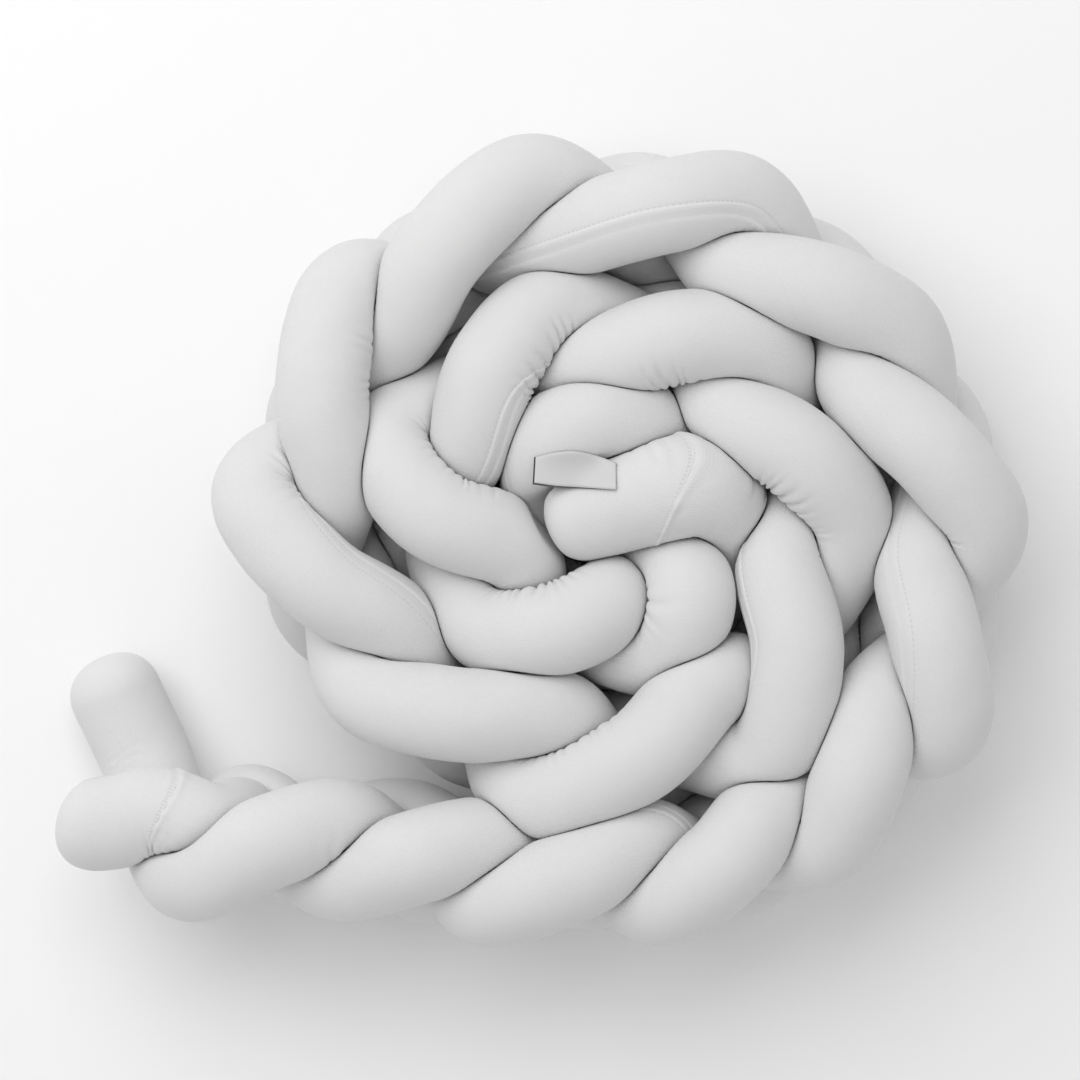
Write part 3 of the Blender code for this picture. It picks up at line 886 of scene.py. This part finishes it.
def woven_satin_tape(name, colour):
    """Woven satin tape: smoother than the jersey, with a low gloss and fine ribs along its length."""
    material = bpy.data.materials.new(name)
    material.use_nodes = True
    tree = material.node_tree
    shader = tree.nodes["Principled BSDF"]
    shader.inputs["Base Color"].default_value = colour
    shader.inputs["Roughness"].default_value = 0.5
    shader.inputs["Sheen Weight"].default_value = 0.15
    place = add_node(tree, "ShaderNodeTexCoord").outputs["Object"]
    ribs = add_node(
        tree,
        "ShaderNodeTexWave",
        {"wave_type": "BANDS", "bands_direction": "Y"},
        {"Vector": place, "Scale": 600.0, "Distortion": 0.3, "Detail": 1.0},
    )
    bump = add_node(
        tree, "ShaderNodeBump", inputs={"Strength": 0.3, "Distance": 0.0001, "Height": ribs.outputs["Fac"]}
    )
    tree.links.new(bump.outputs["Normal"], shader.inputs["Normal"])
    return material


def studio_white(name, colour):
    """Matt painted studio floor."""
    material = bpy.data.materials.new(name)
    material.use_nodes = True
    shader = material.node_tree.nodes["Principled BSDF"]
    shader.inputs["Base Color"].default_value = colour
    shader.inputs["Roughness"].default_value = 0.9
    return material


# -------------------------------- properties


def length_property(name, description, default):
    return FloatProperty(name=name, description=description, default=default, unit="LENGTH")


def factor_property(name, description, default):
    return FloatProperty(name=name, description=description, default=default, subtype="FACTOR")


def colour_property(name, description, hexadecimal):
    colour = linear(hexadecimal)
    return FloatVectorProperty(name=name, description=description, default=colour, subtype="COLOR", size=4)


class BumperSizes(bpy.types.PropertyGroup):
    """Sizes of the cloth's own forms."""

    lump_depth: length_property("Lump depth", "How uneven the filling is", 0.0007)
    pucker_depth: length_property("Pucker depth", "How deep the cloth puckers inside a bend", 0.0030)
    pucker_limit: length_property("Pucker limit", "Deepest a pucker gets", 0.0036)
    pucker_onset: FloatProperty(
        name="Pucker onset", description="How much the cloth is shortened before it puckers", default=0.24
    )
    seam_height: length_property("Seam height", "How far a sewn seam stands out", 0.0009)
    knob_seam_skew: length_property("Knob seam skew", "How far strand A's cap seam slants", 0.0082)
    knob_seam_bow: length_property("Knob seam bow", "How far strand A's cap seam bows on top", 0.0127)
    knob_seam_shift: length_property("Knob seam shift", "How far strand A's cap seam lies inwards", -0.0058)
    inner_seam_skew: length_property("Inner seam skew", "How far strand B's cap seam slants", 0.0150)
    inner_seam_bow: length_property("Inner seam bow", "How far strand B's cap seam bows on top", -0.0184)
    inner_seam_shift: length_property("Inner seam shift", "How far strand B's cap seam lies inwards", 0.0092)
    label_thickness: length_property("Label thickness", "Thickness of one layer of the tape", 0.0004)
    label_lift: length_property("Label lift", "How far the label's loose corner stands off", 0.002)
    # Where the back layer shows beyond the front, it carries the painted shade of the fold
    label_mouth: length_property("Label mouth", "How far the back layer shows beyond the front", 0.0016)
    label_steps: IntProperty(name="Label steps", description="Faces across the label", default=12, min=3)


class BumperFinish(bpy.types.PropertyGroup):
    """Colours and textures."""

    jersey_light: colour_property("Jersey, light", "Lightest cloth", "#E3E3E3")
    jersey_dark: colour_property("Jersey, dark", "Darkest cloth", "#DDDDDD")
    thread: colour_property("Thread", "Sewing thread", "#C2C2C2")
    tape: colour_property("Tape", "Label tape", "#CCCCCC")
    # Painted shade: a near-black tape colour for the back layer, standing in for the shadow in the gap of the
    # label's fold
    tape_painted_fold_shade: colour_property("Tape, painted fold shade", "Painted shade in the label's fold", "#38383A")
    floor: colour_property("Floor", "Studio floor", "#FAFAFA")
    sheen: factor_property("Sheen", "Bloom of the cotton's fuzz", 0.25)
    wale: length_property("Wale", "Width of a column of stitches", 0.0013)
    course: length_property("Course", "Height of a row of stitches", 0.0011)
    knit_bump: factor_property("Knit relief", "Strength of the knit", 0.65)


class StageSettings(bpy.types.PropertyGroup):
    """Floor, light and camera."""

    floor_size: length_property("Floor size", "Side of the floor", 40.0)
    camera_height: length_property("Camera height", "Above the floor", 6.15)
    framed_width: length_property("Framed width", "What the picture's width shows", 0.756)
    key_power: FloatProperty(name="Key light", description="Power of the large soft light", default=60.0)
    fill: FloatProperty(name="Fill light", description="Strength of the light from all round", default=0.6)


# -------------------------------- operators

ROUTES = {}


def routes():
    """The three strands' routes, worked out once."""
    if not ROUTES:
        for strand in STRANDS:
            ROUTES[strand] = Route(strand)
    return ROUTES


def sewn_pieces(strand, tube):
    """The strand, and its cap if it has one, each with its first and last ring and which ends are sewn."""
    last = len(tube.places) - 1
    if tube.seam is None:
        return {f"strand_{strand}": (0, last, False, False)}
    edge = int(np.searchsorted(tube.places, tube.seam))
    before_seam = (0, edge - 1, False, True)
    after_seam = (edge, last, True, False)
    if tube.inwards > 0:
        return {f"strand_{strand}": after_seam, f"end_cap_{strand}": before_seam}
    return {f"strand_{strand}": before_seam, f"end_cap_{strand}": after_seam}


class BUMPER_OT_add_strand(bpy.types.Operator):
    """Adds a filled jersey strand of the plait, with its sewn end cap if it has one"""

    bl_idname = "bumper.add_strand"
    bl_label = "Add strand"

    strand: StringProperty(name="Strand", description="a, b or c", default="a")

    def execute(self, context):
        tube = Tube(self.strand, routes(), context.scene.bumper_sizes)
        name = f"knitted_cotton_jersey_{self.strand}"
        finish = context.scene.bumper_finish
        jersey = knitted_cotton_jersey(name, finish, tube.route.length, tube.cap_stitches())
        for node, (first, last, open_start, open_end) in sewn_pieces(self.strand, tube).items():
            piece = tube_mesh(f"jersey_{node}", tube, first, last, open_start, open_end)
            piece.data.materials.append(jersey)
            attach(piece, "root")
            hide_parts(node)
        return {"FINISHED"}


def height_under(x, y, tubes):
    """The height of the highest tube under a point, or 0 where the floor shows between the tubes."""
    above = mathutils.Vector((x, y, 2 * PLAIT_HEIGHT))
    down = mathutils.Vector((0.0, 0.0, -1.0))
    hits = [tube.ray_cast(above, down) for tube in tubes]
    return max([0.0] + [spot.z for found, spot, _, _ in hits if found])


def label_grid(steps):
    """Places on the tape seen from above: lines from its left end, each from the sewn to the loose edge."""
    rows = smooth_curve(np.array(LABEL_ROWS, float) * MM, np.arange(len(LABEL_ROWS)), steps)
    across = np.linspace(0.0, 1.0, steps + 1)[None, :, None]
    return rows[:, None, :2] * (1 - across) + rows[:, None, 2:] * across


def taut_height(spots, tubes):
    """The height of a tape that lies over the tubes, taut where it passes from one to the next."""
    under = np.array([[height_under(x, y, tubes) for x, y in line] for line in spots])
    under = np.maximum(under, under.max() - LABEL_DROP)
    height = under
    for _ in range(LABEL_PASSES):
        wide = np.pad(height, 1, mode="edge")
        height = (wide[:-2, 1:-1] + wide[2:, 1:-1] + wide[1:-1, :-2] + wide[1:-1, 2:]) / 4
        height = np.maximum(height, under + LABEL_CLEARANCE)
    return height


def label_layers(spots, taut, sizes):
    """The front and the back layer of the folded tape, which part towards its loose left corner."""
    loose = np.linspace(0.0, 1.0, spots.shape[1])[None]
    left = 1 - np.linspace(0.0, 1.0, spots.shape[0])[:, None]
    lift = sizes.label_lift * (loose**0.7 * left**1.4 + 0.25 * loose**2)
    to_loose_edge = (spots[:, -1:] - spots[:, :1]) / LABEL_REACH
    to_left_end = (spots[0] - spots[1]) / np.linalg.norm(spots[0] - spots[1], axis=-1)[:, None]
    beyond = sizes.label_mouth * to_loose_edge * (loose * left)[..., None]
    beyond[0] += sizes.label_mouth * END_MOUTH_SHARE * to_left_end
    front = np.concatenate([spots, (taut + lift + FRONT_RISE)[..., None]], axis=2)
    back = np.concatenate([spots + beyond, (taut + lift * BACK_LIFT_SHARE + BACK_RISE)[..., None]], axis=2)
    front[:, 0, 2] = back[:, 0, 2] + FOLD_RISE
    return front, back


class BUMPER_OT_add_label(bpy.types.Operator):
    """Adds the blank folded tape label, sewn by its upper edge into the crease beside the inner cap"""

    bl_idname = "bumper.add_label"
    bl_label = "Add label"

    def execute(self, context):
        sizes = context.scene.bumper_sizes
        finish = context.scene.bumper_finish
        tubes = [thing for thing in context.scene.objects if thing.name.startswith("jersey_")]
        spots = label_grid(sizes.label_steps)
        front, back = label_layers(spots, taut_height(spots, tubes), sizes)
        corners = np.concatenate([front, back[:, ::-1]], axis=1)
        count, wide = corners.shape[:2]
        faces = [
            (i * wide + j, i * wide + j + 1, (i + 1) * wide + j + 1, (i + 1) * wide + j)
            for i in range(count - 1)
            for j in range(wide - 1)
        ]
        mesh = bpy.data.meshes.new("label_tape")
        mesh.from_pydata([tuple(corner) for corner in corners.reshape(-1, 3)], [], faces)
        mesh.shade_smooth()
        mesh.materials.append(woven_satin_tape("woven_satin_tape", tuple(finish.tape)))
        # The back layer's faces get the near-black tape colour: painted shade for the dark line of the gap
        # under the front layer
        mesh.materials.append(woven_satin_tape("woven_satin_tape_painted_fold_shade", tuple(finish.tape_painted_fold_shade)))
        for face in mesh.polygons:
            face.material_index = int(face.index % (wide - 1) > sizes.label_steps - 1)
        piece = bpy.data.objects.new("label_tape", mesh)
        context.scene.collection.objects.link(piece)
        solidify = piece.modifiers.new("tape", "SOLIDIFY")
        solidify.thickness = sizes.label_thickness
        solidify.offset = 0.0
        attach(piece, "root")
        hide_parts("label")
        return {"FINISHED"}


class BUMPER_OT_add_stage(bpy.types.Operator):
    """Adds the pale floor, the soft studio light and the camera that looks straight down"""

    bl_idname = "bumper.add_stage"
    bl_label = "Add stage"

    def execute(self, context):
        scene = context.scene
        stage = scene.bumper_stage
        mesh = bpy.data.meshes.new("floor")
        shell = bmesh.new()
        bmesh.ops.create_grid(shell, x_segments=1, y_segments=1, size=stage.floor_size / 2)
        shell.to_mesh(mesh)
        shell.free()
        mesh.materials.append(studio_white("matt_painted_floor", tuple(scene.bumper_finish.floor)))
        floor = bpy.data.objects.new("floor", mesh)
        floor.location = (0.0, 0.0, -FLOOR_DROP)
        scene.collection.objects.link(floor)
        world = bpy.data.worlds.new("studio")
        world.use_nodes = True
        world.node_tree.nodes["Background"].inputs["Color"].default_value = (1.0, 1.0, 1.0, 1.0)
        world.node_tree.nodes["Background"].inputs["Strength"].default_value = stage.fill
        scene.world = world
        key = bpy.data.lights.new("key", "AREA")
        key.shape = "SQUARE"
        key.size = KEY_SIZE
        key.energy = stage.key_power
        lamp = bpy.data.objects.new("key", key)
        lamp.location = KEY_PLACE
        lamp.rotation_euler = (-lamp.location).to_track_quat("-Z", "Y").to_euler()
        scene.collection.objects.link(lamp)
        camera = bpy.data.objects.new("camera", bpy.data.cameras.new("camera"))
        camera.location = (0.0, 0.0, stage.camera_height)
        top = stage.camera_height - HIGH_AXIS
        camera.data.lens = camera.data.sensor_width * top / stage.framed_width
        scene.collection.objects.link(camera)
        scene.camera = camera
        scene.view_settings.view_transform = "Standard"
        return {"FINISHED"}


class BUMPER_PT_panel(bpy.types.Panel):
    """Lists the bumper's pieces and settings in the sidebar"""

    bl_idname = "BUMPER_PT_panel"
    bl_label = "Crib bumper"
    bl_space_type = "VIEW_3D"
    bl_region_type = "UI"
    bl_category = "Bumper"

    def draw(self, context):
        for strand in STRANDS:
            self.layout.operator("bumper.add_strand", text=f"Add strand {strand.upper()}").strand = strand
        self.layout.operator("bumper.add_label")
        self.layout.operator("bumper.add_stage")
        for group in (context.scene.bumper_sizes, context.scene.bumper_finish, context.scene.bumper_stage):
            for name in group.__annotations__:
                self.layout.prop(group, name)


CLASSES = (
    BumperSizes,
    BumperFinish,
    StageSettings,
    BUMPER_OT_add_strand,
    BUMPER_OT_add_label,
    BUMPER_OT_add_stage,
    BUMPER_PT_panel,
)


def register():
    for cls in CLASSES:
        bpy.utils.register_class(cls)
    bpy.types.Scene.bumper_sizes = PointerProperty(type=BumperSizes)
    bpy.types.Scene.bumper_finish = PointerProperty(type=BumperFinish)
    bpy.types.Scene.bumper_stage = PointerProperty(type=StageSettings)


def unregister():
    del bpy.types.Scene.bumper_stage
    del bpy.types.Scene.bumper_finish
    del bpy.types.Scene.bumper_sizes
    for cls in reversed(CLASSES):
        bpy.utils.unregister_class(cls)


def main():
    register()
    for strand in STRANDS:
        bpy.ops.bumper.add_strand(strand=strand)
    bpy.context.view_layer.update()
    bpy.ops.bumper.add_label()
    bpy.ops.bumper.add_stage()
    bpy.context.view_layer.update()


if __name__ == "__main__":
    main()
